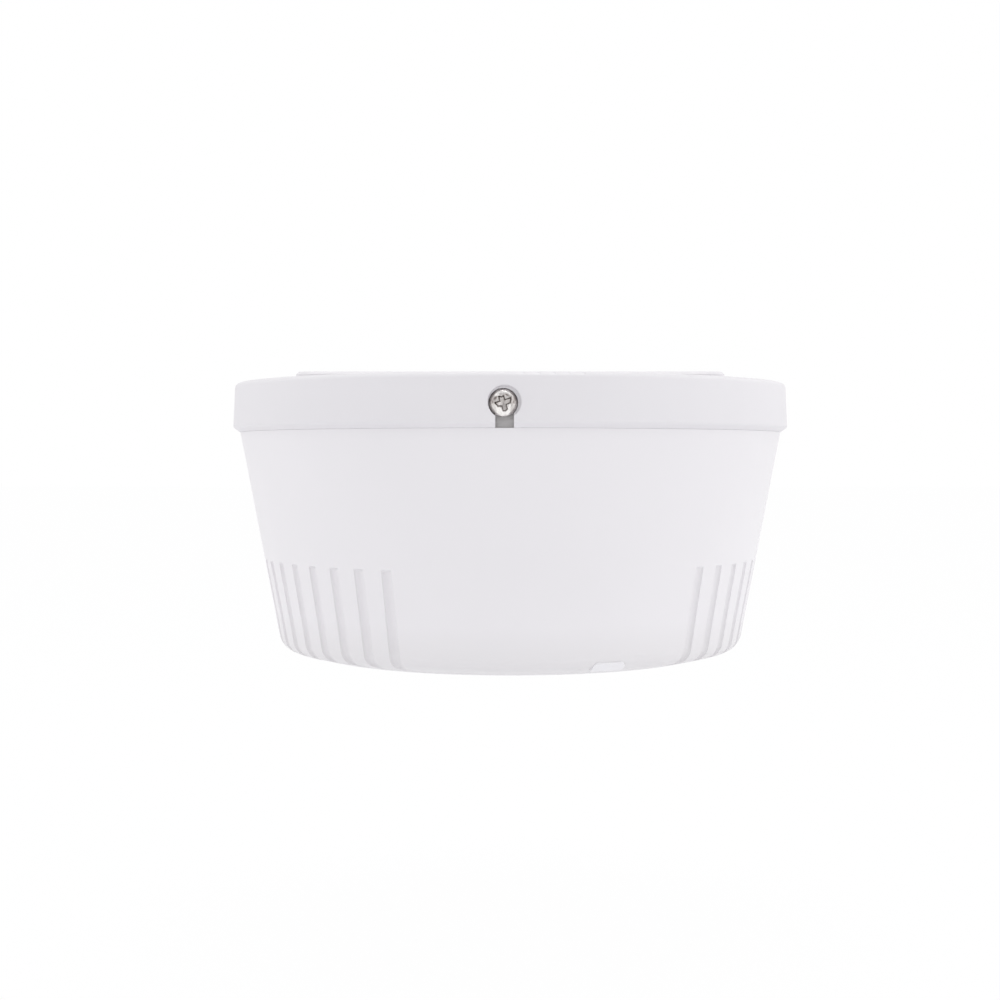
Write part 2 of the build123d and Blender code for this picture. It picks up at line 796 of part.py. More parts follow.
def sensor_guard():
    """Cage round the bead, with the flange that seats inside the dish's floor."""
    points = [
        (bush_r, guard_top),
        (guard_flange_r, guard_top),
        (guard_flange_r, dish_inside),
        (guard_r, dish_inside),
        (guard_r, guard_bottom),
        (0, guard_bottom),
        (0, guard_bottom + guard_wall),
        (guard_r - guard_wall, guard_bottom + guard_wall),
        (guard_r - guard_wall, dish_inside),
        (bush_r, dish_inside),
    ]
    cage = turned(points, [(4, guard_round), (7, guard_round - guard_wall)])
    window_top = dish_floor - 0.6
    windows = disc(guard_r + 1, window_top, guard_bottom - 1) - disc(
        guard_cap_r, window_top + 1, guard_bottom - 2)
    rib = block(guard_rib_width, guard_r + 3, window_top + 1, guard_bottom - 2, y=-(guard_r + 3) / 2)
    windows -= [spun(rib, number * 360 / guard_ribs) for number in range(guard_ribs)]
    return cage - windows


def sensor_bush():
    """Rubber bush in the guard's floor, gripping the sleeve."""
    points = [
        (sleeve_r + assembly, guard_top + 1.4),
        (bush_flange_r, guard_top + 1.4),
        (bush_flange_r, guard_top + assembly),
        (bush_r - assembly, guard_top + assembly),
        (bush_r - assembly, dish_inside - 0.8),
        (sleeve_r + assembly, dish_inside - 0.8),
    ]
    return turned(points, [(1, 0.4)])


# ---------------------------------------------------------------- write the parts

def as_nodes():
    """Every node's name and its solid, or its group of separate solids."""
    nodes = {
        "base_housing": base_housing(),
        "cable_grommet": cable_grommet(),
        "contact_rivets": [spun(contact_rivet(), angle) for angle in terminal_angles],
        "locking_insert": locking_insert(),
        "locking_washer": locking_washer(),
        "locking_screw": locking_screw(),
        "cover": cover(),
        "chassis": chassis(),
        "chassis_screws": chassis_screws(),
        "seal_ring": seal_ring(),
        "circuit_board": circuit_board(),
        "board_screws": board_screws(),
        "relay": relay(),
        "capacitor": capacitor(),
        "controller_chip": controller_chip(),
        "bridge_rectifier": bridge_rectifier(),
        "surge_suppressor": surge_suppressor(),
        "resistors": resistors(),
        "indicator_led": indicator_led(),
        "light_pipe": light_pipe(),
        "reference_thermistor": reference_thermistor(),
        "sensing_thermistor": sensing_thermistor(),
        "sensor_leads": sensor_leads_pair(),
        "sensor_sleeve": sensor_sleeve(),
        "sensor_guard": sensor_guard(),
        "sensor_bush": sensor_bush(),
    }
    for number, angle in enumerate(terminal_angles, start=1):
        nodes[f"base_contact_{number}"] = spun(base_contact(), angle)
        nodes[f"wire_clamp_{number}"] = spun(wire_clamp(), angle)
        nodes[f"terminal_screw_{number}"] = spun(terminal_screw(), angle)
        nodes[f"contact_blade_{number}"] = spun(contact_blade(), angle)
    return nodes


os.makedirs("parts", exist_ok=True)
for name, shape in as_nodes().items():
    solids = shape if isinstance(shape, list) else [shape]
    group = Compound(children=[solid for piece in solids for solid in piece.solids()])
    export_step(group, f"parts/{name}.step")
    print(name, len(group.solids()), round(group.volume, 2))
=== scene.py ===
# %% [markdown]
# # A ceiling heat detector
#
# A white moulded detector hangs from a ceiling: a base with a low collar, and under it a deep
# fluted cup that plugs in and is held by one small screw. The construction comes from a
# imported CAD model. This lesson gives it its looks: it remakes the shells that light falls
# on as clean meshes, and finishes every other piece with a material of its own.

# %% Load the frame
import json
import math

import bmesh
import bpy
from mathutils import Matrix, Vector


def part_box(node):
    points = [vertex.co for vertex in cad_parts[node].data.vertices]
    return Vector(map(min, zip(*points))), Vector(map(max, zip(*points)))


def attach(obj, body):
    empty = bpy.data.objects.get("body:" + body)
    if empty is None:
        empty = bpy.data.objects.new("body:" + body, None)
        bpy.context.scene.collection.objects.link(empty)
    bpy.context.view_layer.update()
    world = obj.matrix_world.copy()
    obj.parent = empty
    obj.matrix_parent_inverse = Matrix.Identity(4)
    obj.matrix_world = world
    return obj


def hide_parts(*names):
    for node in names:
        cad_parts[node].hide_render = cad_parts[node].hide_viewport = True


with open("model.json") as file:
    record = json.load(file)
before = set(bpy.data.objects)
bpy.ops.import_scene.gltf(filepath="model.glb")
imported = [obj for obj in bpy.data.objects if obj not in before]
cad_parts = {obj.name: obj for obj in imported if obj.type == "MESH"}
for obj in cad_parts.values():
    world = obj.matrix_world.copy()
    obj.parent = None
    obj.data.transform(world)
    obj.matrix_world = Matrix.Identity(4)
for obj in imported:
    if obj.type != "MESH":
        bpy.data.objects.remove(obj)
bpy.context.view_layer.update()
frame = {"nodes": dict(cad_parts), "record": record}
nodes = frame["nodes"]
MM = 0.001
print("CAD nodes:", len(nodes))

# %% [markdown]
# ## Levels and radii
#
# A remade shell has to lie exactly where its CAD node lies, so its main sizes are read from
# the frame. What a bounding box can't tell, such as a taper or a rounding, is named here in
# millimetres.

# %% Sizes from the frame
cup_low, cup_high = (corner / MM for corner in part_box("cover"))
nose_z = cup_low.z
shoulder_z = cup_high.z
seam_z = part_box("base_housing")[0].z / MM

cup_r = 58.5
cup_taper = math.tan(math.radians(10.9))
nose_round = 3.9
rim_width = 8.0            # shallow cone between the cup's side and its flat nose
rim_height = 2.0
rim_round = 5.0
dish_r = 30.0
dish_depth = 2.6
dish_step = 1.2            # how far in the dish's side leans
guard_r = 9.6
guard_gap = 0.06           # between the guard and its seat in the nose
wall = 2.2
print("nose at", round(nose_z, 2), "mm, shoulder at", round(shoulder_z, 2), "mm")

# %% [markdown]
# ## The camera
#
# The device is seen level, from about 37 cm, square to the pad on its base.
# A camera that looks level keeps every upright line upright, and a small shift of the lens
# frames the device a little above the middle, as a studio camera on a rail would.

# %% Camera
view_distance = 368.4
view_height = -17.2
sensor_width = 36.0
focal_share = 1.678        # focal length over the sensor's width
lens_shift = (-0.0103, -0.0403)

camera_data = bpy.data.cameras.new("studio_camera")
camera_data.sensor_width = sensor_width
camera_data.lens = focal_share * sensor_width
camera_data.shift_x, camera_data.shift_y = lens_shift
camera_data.clip_start = 0.01
camera_data.clip_end = 20.0
camera = bpy.data.objects.new("studio_camera", camera_data)
camera.location = Vector((0, -view_distance, view_height)) * MM
camera.rotation_euler = (math.radians(90), 0, 0)
bpy.context.scene.collection.objects.link(camera)
bpy.context.scene.camera = camera
bpy.context.scene.view_settings.view_transform = "Standard"
print("camera at", [round(v, 3) for v in camera.location])

# %% [markdown]
# ## Two helpers
#
# Colours are written as sRGB hex, the way a colour picker shows them, and Cycles wants linear
# light, so one function converts them. A second one adds a shader node: its settings and
# the links that feed it are given together, so a material reads like its node tree.

# %% Colour and node helpers
def linear(hex_colour):
    """Linear RGBA from an sRGB hex string."""
    channels = [int(hex_colour[i:i + 2], 16) / 255 for i in (1, 3, 5)]
    curved = [c / 12.92 if c <= 0.04045 else ((c + 0.055) / 1.055) ** 2.4 for c in channels]
    return (*curved, 1.0)


def add(tree, kind, settings=None, links=None):
    """Adds a node. settings are properties or socket values, and links feed its sockets."""
    made = tree.nodes.new(kind)
    for name, value in (settings or {}).items():
        if isinstance(name, str) and hasattr(made, name):
            setattr(made, name, value)
        else:
            made.inputs[name].default_value = value
    for name, source in (links or {}).items():
        tree.links.new(source, made.inputs[name])
    return made


def blank_material(name):
    """A material with an empty node tree."""
    material = bpy.data.materials.new(name)
    material.use_nodes = True
    material.node_tree.nodes.clear()
    return material, material.node_tree


print("pure white in linear light:", linear("#FFFFFF")[:3])

# %% [markdown]
# ## White moulded ABS
#
# Housings like this are ABS, injection moulded in a tool with a fine spark-eroded texture.
# That gives the eye a satin surface: light spreads softly over it, the rim catches the white
# room at a grazing angle, and close up there is a faint grain. The base and the cup come
# from different shots of resin, so the collar is a shade darker. The erosion grain is about
# 0.05 mm, too fine to show, so it is drawn at 0.35 mm, and very shallow. The cup's colour
# is also darkened by just under a tenth over its lowest centimetre: painted shade for the
# light that the nose's rounded edge loses as it turns down.

# %% Moulded ABS
drift_mm = 25.0                         # size of the slow drifts of shade
grain_mm, grain_height = 0.35, 0.004    # spark-eroded texture, in millimetres
nose_shade_top, nose_shade_full = -49.0, -57.0      # heights where the painted shade near the nose starts, and where it is full


def moulded_abs(name, hex_light, hex_dark, roughness, hex_nose_shade=None):
    """Satin white ABS with a fine grain, slow drifts of shade and, if a colour is given, painted shade near
    the nose.
    """
    material, tree = blank_material(name)
    place = add(tree, "ShaderNodeTexCoord").outputs["Object"]
    drift = add(tree, "ShaderNodeTexNoise", {"Scale": 1 / (drift_mm * MM), "Detail": 2.0}, {"Vector": place})
    grain = add(tree, "ShaderNodeTexNoise", {"Scale": 1 / (grain_mm * MM), "Detail": 3.0,
                                             "Roughness": 0.6}, {"Vector": place})
    shade = add(tree, "ShaderNodeMix", {"data_type": "RGBA", 6: linear(hex_light), 7: linear(hex_dark)},
                {0: drift.outputs["Fac"]})
    # painted shade: below a set height the colour blends towards a darker one, fully near the nose
    if hex_nose_shade:
        height = add(tree, "ShaderNodeSeparateXYZ", {}, {"Vector": place})
        nose_shade_ramp = add(tree, "ShaderNodeMapRange", {"From Min": nose_shade_top * MM, "From Max": nose_shade_full * MM},
                   {"Value": height.outputs["Z"]})
        shade = add(tree, "ShaderNodeMix", {"data_type": "RGBA", 7: linear(hex_nose_shade)},
                    {0: nose_shade_ramp.outputs["Result"], 6: shade.outputs[2]})
    gloss = add(tree, "ShaderNodeMapRange", {"From Min": 0.3, "From Max": 0.7, "To Min": roughness - 0.03,
                                             "To Max": roughness + 0.04}, {"Value": grain.outputs["Fac"]})
    relief = add(tree, "ShaderNodeBump", {"Strength": 0.35, "Distance": grain_height * MM},
                 {"Height": grain.outputs["Fac"]})
    surface = add(tree, "ShaderNodeBsdfPrincipled", {"IOR": 1.53},
                  {"Base Color": shade.outputs[2], "Roughness": gloss.outputs["Result"],
                   "Normal": relief.outputs["Normal"]})
    add(tree, "ShaderNodeOutputMaterial", {}, {"Surface": surface.outputs["BSDF"]})
    return material


# the cup's last colour is the darker colour of the painted shade near the nose
abs_cup = moulded_abs("moulded_abs_cup", "#EBE9EB", "#E8E6E8", 0.42, "#E2E0E1")
abs_base = moulded_abs("moulded_abs_base", "#E5E3E5", "#E2E0E3", 0.45)
# the chassis is white ABS too; its grey is painted shade for where it shows, deep in the keyhole's slot
abs_chassis_painted_shade = moulded_abs("moulded_abs_chassis_painted_shade", "#C9C7C6", "#C3C1C0", 0.5)
print("white resins:", abs_cup.name, abs_base.name, abs_chassis_painted_shade.name)

# %% [markdown]
# ## Metals
#
# The screws are steel with a thin bright zinc plating: a neutral, slightly warm metal whose
# plating crystals blur reflections unevenly. Inserts and rivets are turned brass, and the
# stamped contacts are brass under a layer of tin. One function makes them all, because
# what differs is only colour, blur and the size of the marks.

# %% Plated and turned metals
mark_height = 0.02         # millimetres


def worked_metal(name, hex_colour, hex_mark, roughness, mark_mm):
    """Bare or plated metal with uneven blur and fine working marks."""
    material, tree = blank_material(name)
    place = add(tree, "ShaderNodeTexCoord").outputs["Object"]
    marks = add(tree, "ShaderNodeTexNoise", {"Scale": 1 / (mark_mm * MM), "Detail": 5.0,
                                             "Roughness": 0.65}, {"Vector": place})
    tone = add(tree, "ShaderNodeMix", {"data_type": "RGBA", 6: linear(hex_colour), 7: linear(hex_mark)},
               {0: marks.outputs["Fac"]})
    blur = add(tree, "ShaderNodeMapRange", {"From Min": 0.3, "From Max": 0.7, "To Min": roughness - 0.08,
                                            "To Max": roughness + 0.1}, {"Value": marks.outputs["Fac"]})
    relief = add(tree, "ShaderNodeBump", {"Strength": 0.15, "Distance": mark_height * MM},
                 {"Height": marks.outputs["Fac"]})
    surface = add(tree, "ShaderNodeBsdfPrincipled", {"Metallic": 1.0},
                  {"Base Color": tone.outputs[2], "Roughness": blur.outputs["Result"],
                   "Normal": relief.outputs["Normal"]})
    add(tree, "ShaderNodeOutputMaterial", {}, {"Surface": surface.outputs["BSDF"]})
    return material


zinc_steel = worked_metal("bright_zinc_on_steel", "#E4E0DE", "#B9B3B0", 0.2, 0.5)
turned_brass = worked_metal("turned_brass", "#D8B36A", "#B98F45", 0.3, 0.6)
tinned_brass = worked_metal("tinned_stamped_brass", "#D3D0C6", "#B7B3A6", 0.34, 0.9)
tinned_wire = worked_metal("tinned_copper_wire", "#D6D3CC", "#BDB9B0", 0.3, 0.3)
print("metals:", zinc_steel.name, turned_brass.name, tinned_brass.name, tinned_wire.name)

# %% [markdown]
# ## Rubber, epoxy and the rest
#
# The small parts inside are dielectrics: nitrile rubber, glass epoxy under solder mask,
# moulded and dipped epoxies, clear and milky acrylic. Each has a base colour, a gloss and a
# mottle of its own size; acrylic also lets light through.

# %% Small-part dielectrics
mottle_height = 0.01       # millimetres


def plain_dielectric(name, hex_light, hex_dark, roughness, mottle_mm, ior=1.5, through=0.0):
    """A non-metal with a mottle of shade and relief at one scale."""
    material, tree = blank_material(name)
    place = add(tree, "ShaderNodeTexCoord").outputs["Object"]
    mottle = add(tree, "ShaderNodeTexNoise", {"Scale": 1 / (mottle_mm * MM), "Detail": 4.0},
                 {"Vector": place})
    tone = add(tree, "ShaderNodeMix", {"data_type": "RGBA", 6: linear(hex_light), 7: linear(hex_dark)},
               {0: mottle.outputs["Fac"]})
    relief = add(tree, "ShaderNodeBump", {"Strength": 0.3, "Distance": mottle_height * MM},
                 {"Height": mottle.outputs["Fac"]})
    surface = add(tree, "ShaderNodeBsdfPrincipled",
                  {"Roughness": roughness, "IOR": ior, "Transmission Weight": through},
                  {"Base Color": tone.outputs[2], "Normal": relief.outputs["Normal"]})
    add(tree, "ShaderNodeOutputMaterial", {}, {"Surface": surface.outputs["BSDF"]})
    return material


nitrile = plain_dielectric("moulded_nitrile_rubber", "#2A2A2C", "#1D1D1F", 0.7, 0.8)
solder_mask = plain_dielectric("solder_mask_on_glass_epoxy", "#1F6B3A", "#175530", 0.3, 1.5)
relay_blue = plain_dielectric("moulded_pbt_blue", "#2C5A9C", "#244E8A", 0.4, 1.0)
can_sleeve = plain_dielectric("shrunk_pet_sleeve", "#1C1E24", "#14161B", 0.28, 1.2)
package_epoxy = plain_dielectric("moulded_epoxy_package", "#242424", "#1A1A1A", 0.55, 0.4)
dipped_blue = plain_dielectric("dipped_epoxy_blue", "#2F6AB0", "#285C9C", 0.3, 0.7)
dipped_black = plain_dielectric("dipped_epoxy_black", "#1E1C1B", "#151413", 0.25, 0.5)
led_red = plain_dielectric("tinted_led_epoxy", "#C23A2E", "#B03025", 0.12, 2.0, 1.54, 0.35)
milky_acrylic = plain_dielectric("milky_acrylic", "#EEEDEF", "#EBEAEC", 0.35, 2.0, 1.49, 0.0)
ptfe = plain_dielectric("extruded_ptfe", "#E9E8E3", "#DFDED8", 0.4, 1.0, 1.35)
print("materials so far:", len(bpy.data.materials))

# %% [markdown]
# ## Finish for every carried-over node
#
# A CAD node whose shape is right stays as it is. It takes the material that matches its slot
# in the record, and a small bevel on its sharp edges, because no real edge is
# perfectly sharp and the eye finds an object by the light on its edges. The model comes in
# with its faces split along those edges, so a weld closes it first. Moulded edges are
# rounder than sheared or turned ones, so each finish has its own edge size in millimetres.

# %% Materials and edges by slot
finish_of_slot = {
    "base_abs": (abs_base, 0.08),
    "cover_abs": (abs_cup, 0.12),
    "chassis_abs": (abs_chassis_painted_shade, 0.12),
    "zinc_steel": (zinc_steel, 0.05),
    "brass": (turned_brass, 0.05),
    "tinned_brass": (tinned_brass, 0.04),
    "rubber": (nitrile, 0.10),
    "board": (solder_mask, 0.05),
    "relay_case": (relay_blue, 0.15),
    "can_sleeve": (can_sleeve, 0.10),
    "package": (package_epoxy, 0.04),
    "varistor": (dipped_blue, 0.10),
    "light_guide": (milky_acrylic, 0.10),
    "led_epoxy": (led_red, 0.05),
    "bead_epoxy": (dipped_black, 0.05),
    "lead_wire": (tinned_wire, 0.02),
    "ptfe": (ptfe, 0.03),
}
sharpest = math.radians(32)    # edges that turn by more than this get a bevel
weld_gap = 0.001
slot_of_node = {part["node"]: part["material_slot"] for part in frame["record"]["subparts"]}
for name, node in nodes.items():
    material, edge = finish_of_slot[slot_of_node[name]]
    node.data.materials.clear()
    node.data.materials.append(material)
    weld = node.modifiers.new("closed_faces", "WELD")
    weld.merge_threshold = weld_gap * MM
    bevel = node.modifiers.new("small_edges", "BEVEL")
    bevel.width = edge * MM
    bevel.segments = 2
    bevel.limit_method = "ANGLE"
    bevel.angle_limit = sharpest
print("nodes finished:", len(slot_of_node))

# %% [markdown]
# ## The cup
#
# The cup is a turned form with grooves, so its mesh is a grid: columns go round the axis and
# rows go along the wall's outline. The grooves aren't cut. Columns are laid close together
# at each groove's sides, and the points between them are drawn in by the groove's depth, so
# every edge gets the small radius that a moulded edge has, and the mesh stays clean quads.
#
# The flutes come in three groups of eight, seven degrees apart, and leave a plain panel
# between the groups. Each starts with a square end half way down the cup, follows the
# rounded edge at the same depth and runs out on the shallow rim under it, where the mould
# opens.

# %% Where the flutes are
flute_groups = 3
flutes_per_group = 8
flute_pitch = 7.0          # degrees
flute_width = 2.3
flute_depth = 0.8
flute_top = seam_z - 27.0
mid_flute_z = flute_top - 10
run_out = 3.5              # length on the rim in which a flute fades
plain_centre = 9.0         # middle of the front panel, in degrees from the keyhole's side to +X
flute_angles = [
    plain_centre + 360 / flute_groups * (group + 0.5) + flute_pitch * (number - (flutes_per_group - 1) / 2)
    for group in range(flute_groups)
    for number in range(flutes_per_group)
]
print("flutes at", [round(angle % 360, 1) for angle in flute_angles[:flutes_per_group]], "and so on")

# %% [markdown]
# A flute is a shallow hollow with a rounded section, not a square slot: its sides
# fall away steeply and meet in a soft floor. Its upper end is a short ramp. Both are written
# as a share from 0 to 1, and their product says how deep any place on the cup is.

# %% A flute's section and its end
def eased(distance, near=-0.12, far=0.6):
    """0 outside a groove's end and 1 on its floor, with a soft ramp between."""
    share = min(1, max(0, (distance - near) / (far - near)))
    return share * share * (3 - 2 * share)


def hollow(distance):
    """Depth of a groove's rounded section, from 0 at its side to 1 in the middle."""
    share = min(1, max(0, distance / (flute_width / 2)))
    return math.sqrt(1 - (1 - share) ** 2.6)


def cone_r(z):
    """Radius of the cup's outside at a height."""
    return cup_r - (shoulder_z - z) * cup_taper


def flute_share(angle, z):
    """How far into a groove a place on the cup is."""
    nearest = min(flute_angles, key=lambda middle: abs((angle - middle + 180) % 360 - 180))
    off = abs((angle - nearest + 180) % 360 - 180)
    inside = flute_width / 2 - math.radians(off) * cone_r(z)
    return hollow(inside) * eased(flute_top - z)


print("share of the depth in a flute's middle:", flute_share(flute_angles[0], mid_flute_z))

# %% [markdown]
# At the rounded edge a flute has to turn with the wall. The arc that rounds the edge touches
# the cup's side and the shallow rim, which fixes its centre. Below the side, every place is
# drawn in towards that centre, so a flute keeps its depth all the way round.

# %% The rounded edge
nose_r = cone_r(nose_z)
rim_slope = rim_height / (cone_r(nose_z + rim_height) - nose_r + rim_width)
side_tilt = math.atan(cup_taper)
rim_tilt = math.radians(90) - math.atan(rim_slope)
side_r = cone_r(0) - nose_round / math.cos(side_tilt)
rim_zero = nose_z - (nose_r - rim_width) * rim_slope + nose_round / math.sin(rim_tilt)
centre_z = (rim_zero + rim_slope * side_r) / (1 - rim_slope * cup_taper)
centre_r = side_r + centre_z * cup_taper


def groove_pull(r, z):
    """How a place on the outline moves to reach a groove's floor."""
    tilt = math.atan2(centre_z - z, r - centre_r) if r > centre_r else rim_tilt
    tilt = min(rim_tilt, max(side_tilt, tilt))
    along_rim = centre_r + nose_round * math.cos(rim_tilt) - r
    depth = flute_depth * (1 - eased(along_rim, 0, run_out))
    return Vector((-math.cos(tilt), math.sin(tilt))) * depth


print("arc's centre at radius", round(centre_r, 2), "and height", round(centre_z, 2))

# %% [markdown]
# Columns crowd together at both sides of every flute, at steps of a few hundredths of a
# millimetre, and stand two degrees apart on the plain panels. A mesh needs its points where
# the shape bends, and nowhere else.

# %% Columns
edge_steps = (-0.26, -0.08, 0.0, 0.03, 0.09, 0.18, 0.32, 0.52, 0.8)    # from a flute's side, inwards
plain_step, closest = 2, 0.8                                            # degrees
flute_r = cone_r(mid_flute_z)

cup_columns = set()
groove_half = math.degrees(flute_width / 2 / flute_r)
for middle in flute_angles:
    cup_columns.add(round(middle % 360, 4))
    for step in edge_steps:
        turn = groove_half - math.degrees(step / flute_r)
        cup_columns.add(round((middle + turn) % 360, 4))
        cup_columns.add(round((middle - turn) % 360, 4))
for whole in range(0, 360, plain_step):
    if min(abs((whole - taken + 180) % 360 - 180) for taken in cup_columns) > closest:
        cup_columns.add(float(whole))
cup_columns = sorted(cup_columns)
print("columns:", len(cup_columns))

# %% [markdown]
# Rows follow the wall's section. It is given by its corners, each with a rounding, the way a
# moulder's drawing gives it, and two helpers turn that into points: one lays an arc in each
# corner, and the other divides the long straights.

# %% Outline helpers
def rounded_outline(corners, step=0.5):
    """Outline through (radius, height, rounding) corners, each rounded by an arc of points."""
    outline = []
    count = len(corners)
    for i, (r, z, rounding) in enumerate(corners):
        here = Vector((r, z))
        before = Vector(corners[i - 1][:2]) - here
        after = Vector(corners[(i + 1) % count][:2]) - here
        half = before.angle(after) / 2
        reach = rounding / math.tan(half)
        centre = here + (before.normalized() + after.normalized()).normalized() * rounding / math.sin(half)
        start = here + before.normalized() * reach - centre
        sweep = start.angle_signed(here + after.normalized() * reach - centre)
        arcs = max(3, round(abs(sweep) * rounding / step) + 3)
        for k in range(arcs + 1):
            outline.append(centre + Matrix.Rotation(-sweep * k / arcs, 2) @ start)
    return outline


def with_stretches(outline, longest=2.5):
    """The outline with long straight stretches divided."""
    divided = []
    for here, after in zip(outline, outline[1:] + outline[:1]):
        parts = max(1, math.ceil((after - here).length / longest))
        divided += [here.lerp(after, k / parts) for k in range(parts)]
    return divided


test_outline = rounded_outline([(0, 0, 1), (10, 0, 1), (10, 10, 1), (0, 10, 1)])
print("a rounded square has", len(test_outline), "points, or", len(with_stretches(test_outline)),
      "with its straights divided")

# %% [markdown]
# The section runs all the way round the wall: over the shoulder, down the outside, across the
# nose and its dish, and back up the inside. At the flutes' upper ends extra rows are put in, at
# the same steps as the columns, so the ends are as crisp as the sides.

# %% Rows
shoulder_lift, shoulder_round = 0.04, 0.05    # the shoulder touches the collar, so it stays crisp
end_reach = 0.6                               # either side of a flute's upper end
touching = 0.01                               # nearer to the cone than this is on it

outer_outline = [
    (cup_r - wall, shoulder_z + shoulder_lift, shoulder_round),
    (cup_r, shoulder_z + shoulder_lift, shoulder_round),
    (cone_r(nose_z + rim_height), nose_z + rim_height, nose_round),
    (nose_r - rim_width, nose_z, rim_round),
    (dish_r, nose_z, 0.5),
    (dish_r - dish_step, nose_z + dish_depth, 1.0),
    (guard_r + guard_gap, nose_z + dish_depth, 0.25),
    (guard_r + guard_gap, nose_z + dish_depth + wall, 0.1),
    (dish_r + wall, nose_z + dish_depth + wall, 0.5),
    (dish_r + wall, nose_z + wall, 0.5),
    (nose_r - rim_width, nose_z + wall, 1.0),
    (cone_r(nose_z + rim_height) - wall, nose_z + rim_height + wall, 1.5),
]
cup_rows = with_stretches(rounded_outline(outer_outline))
flute_rows = []
for here, after in zip(cup_rows, cup_rows[1:] + cup_rows[:1]):
    flute_rows.append(here)
    on_outside = here.x > cone_r(here.y) - touching and after.x > cone_r(after.y) - touching
    lower, upper = min(here.y, after.y), max(here.y, after.y)
    if on_outside and lower < flute_top + end_reach and upper > flute_top - end_reach:
        for step in sorted(edge_steps):
            z = flute_top - step
            if lower < z < upper:
                flute_rows.append(Vector((cone_r(z), z)))
print("rows:", len(flute_rows))

# %% [markdown]
# Now each place of the grid can be put in space. Only the outer skin is drawn in, since the
# inside of a moulded wall stays smooth.

# %% A place on the cup
skin, rim_skin = 0.3, 0.5  # how far under the surface a place still counts as outside


def is_outside(r, z):
    """True for a place on the side, the rounded edge or the rim."""
    if z >= centre_z:
        return r > cone_r(z) - skin
    if r > centre_r:
        return Vector((r - centre_r, z - centre_z)).length > nose_round - skin
    return z < nose_z + (r - nose_r + rim_width) * rim_slope + rim_skin


def cup_point(row, angle):
    """Point of the cup's surface: the outline turned round the axis, drawn in at the grooves."""
    r, z = row
    if z < flute_top + 0.5 and r > nose_r - rim_width and is_outside(r, z):
        pull = groove_pull(r, z) * flute_share(angle, z)
        r, z = r + pull.x, z + pull.y
    turn = math.radians(angle)
    return Vector((r * math.sin(turn), -r * math.cos(turn), z)) * MM


flute_floor = cup_point((flute_r, mid_flute_z), flute_angles[0])
print("a place on a flute's floor:", [round(v, 4) for v in flute_floor])

# %% [markdown]
# The grid itself is simple: one ring of points for each row, four-sided faces between
# neighbours, and the last ring joined to the first, which closes the wall. A closed mesh has
# an inside and an outside, which the boolean after this needs.

# %% The cup's mesh
def grid_mesh(name, columns, rows, place):
    """Closed mesh of revolution: place(row, angle) gives a point, and rows close on themselves."""
    mesh = bpy.data.meshes.new(name)
    build = bmesh.new()
    rings = []
    for row in rows:
        rings.append([build.verts.new(place(row, angle)) for angle in columns])
    count = len(columns)
    for ring, after in zip(rings, rings[1:] + rings[:1]):
        for i in range(count):
            j = (i + 1) % count
            build.faces.new((ring[i], ring[j], after[j], after[i]))
    bmesh.ops.recalc_face_normals(build, faces=build.faces)
    build.to_mesh(mesh)
    build.free()
    mesh.shade_smooth()
    made = bpy.data.objects.new(name, mesh)
    bpy.context.scene.collection.objects.link(made)
    return made


cup_shell = grid_mesh("cup_shell", cup_columns, flute_rows, cup_point)
print("cup:", len(cup_shell.data.vertices), "points in", len(cup_columns), "columns")

# %% [markdown]
# The indicator's light leaves through a window in the rounded edge. Its light pipe is a CAD
# node that stands a quarter of a millimetre proud. The hole round it is cut with a boolean,
# a hair wider than the pipe. A boolean is right here because the hole crosses many faces of
# the grid at a slant, and the exact solver keeps the rest of the mesh as it was.

# %% Window outline and cutter
window_angle = math.radians(22.8)
window_tilt = math.radians(58.0)
window_width, window_height, window_corner_r = 6.8, 3.4, 1.2
window_gap = 0.04
cutter_start, cutter_length = 2.0, 6.5    # from outside the wall to well inside it


def rounded_rectangle(width, height, radius, steps=8):
    """Points round a rectangle with rounded corners, in millimetres."""
    points = []
    for quarter in range(4):
        x = (width / 2 - radius) * (1 if quarter in (0, 3) else -1)
        y = (height / 2 - radius) * (1 if quarter in (0, 1) else -1)
        for k in range(steps + 1):
            turn = math.radians(90) * (quarter + k / steps)
            points.append((x + radius * math.cos(turn), y + radius * math.sin(turn)))
    return points


def bar(name, outline, start, along, across, length):
    """Straight bar with the outline as its section."""
    mesh = bpy.data.meshes.new(name)
    build = bmesh.new()
    up = along.cross(across)
    ends = []
    for reach in (0, length):
        ends.append([build.verts.new((start + along * reach + across * x + up * y) * MM)
                     for x, y in outline])
    for i in range(len(outline)):
        j = (i + 1) % len(outline)
        build.faces.new((ends[0][i], ends[0][j], ends[1][j], ends[1][i]))
    build.faces.new(ends[0][::-1])
    build.faces.new(ends[1])
    bmesh.ops.recalc_face_normals(build, faces=build.faces)
    build.to_mesh(mesh)
    build.free()
    made = bpy.data.objects.new(name, mesh)
    bpy.context.scene.collection.objects.link(made)
    return made


print("window", window_width, "by", window_height, "mm")

# %% Cut the window hole
outward = Vector((math.sin(window_angle), -math.cos(window_angle), 0))
window_normal = outward * math.cos(window_tilt) - Vector((0, 0, math.sin(window_tilt)))
window_middle = outward * centre_r + Vector((0, 0, centre_z)) + window_normal * nose_round
level = Vector((math.cos(window_angle), math.sin(window_angle), 0))
hole = rounded_rectangle(window_width + 2 * window_gap, window_height + 2 * window_gap,
                         window_corner_r + window_gap)
cutter = bar("window_cutter", hole, window_middle + window_normal * cutter_start, -window_normal, level,
             cutter_length)
cut = cup_shell.modifiers.new("window_hole", "BOOLEAN")
cut.operation = "DIFFERENCE"
cut.solver = "EXACT"
cut.object = cutter
ready = cup_shell.evaluated_get(bpy.context.evaluated_depsgraph_get())
cup_mesh = bpy.data.meshes.new_from_object(ready)
cup_shell.modifiers.clear()
cup_shell.data = cup_mesh
bpy.data.objects.remove(cutter)
